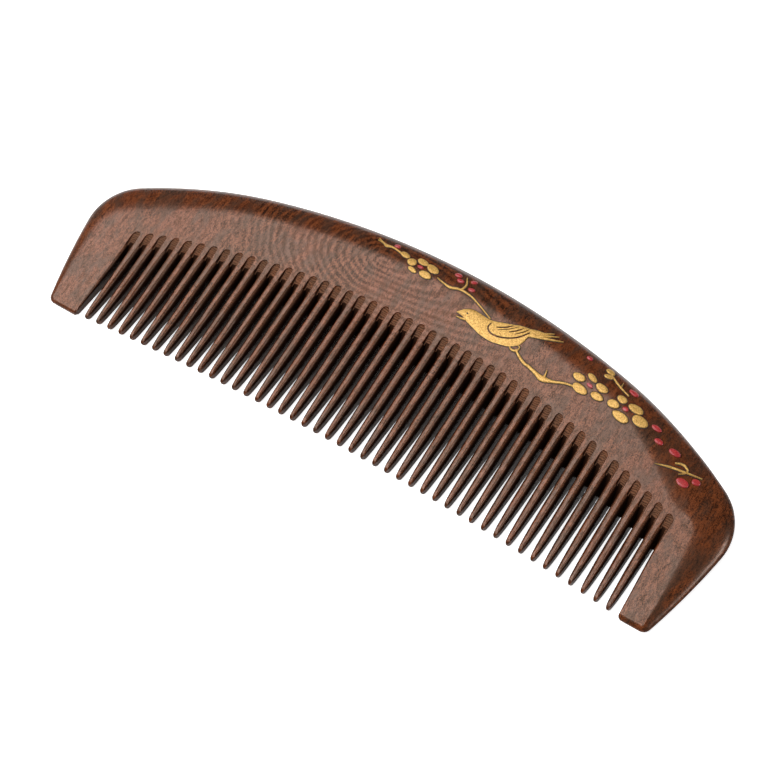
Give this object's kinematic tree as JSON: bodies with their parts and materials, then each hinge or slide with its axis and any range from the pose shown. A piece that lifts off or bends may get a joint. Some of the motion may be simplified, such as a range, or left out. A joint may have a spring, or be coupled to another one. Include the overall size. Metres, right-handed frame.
{
  "type": "fine-tooth comb",
  "caption": "Crescent-shaped wooden hair comb with fine tapered teeth between two guard teeth, and a raised lacquer ornament of a bird on a flowering branch.",
  "frame": {"origin": "bottom centre of the bounding box, with the comb lying on its plain back", "axes": "+X along the row of teeth, +Y from the teeth towards the spine, +Z out of the decorated face"},
  "size_m": [0.164, 0.0518, 0.0093],
  "materials": {
    "wood": "polished and waxed, dark red-brown with fine pores",
    "gold_lacquer": "satin gold, raised",
    "red_lacquer": "glossy, raised"
  },
  "bodies": {
    "root": {"comb": "wood", "gold_twigs": "gold_lacquer", "gold_bird": "gold_lacquer", "gold_petals": "gold_lacquer", "red_buds": "red_lacquer"}
  },
  "joints": []
}
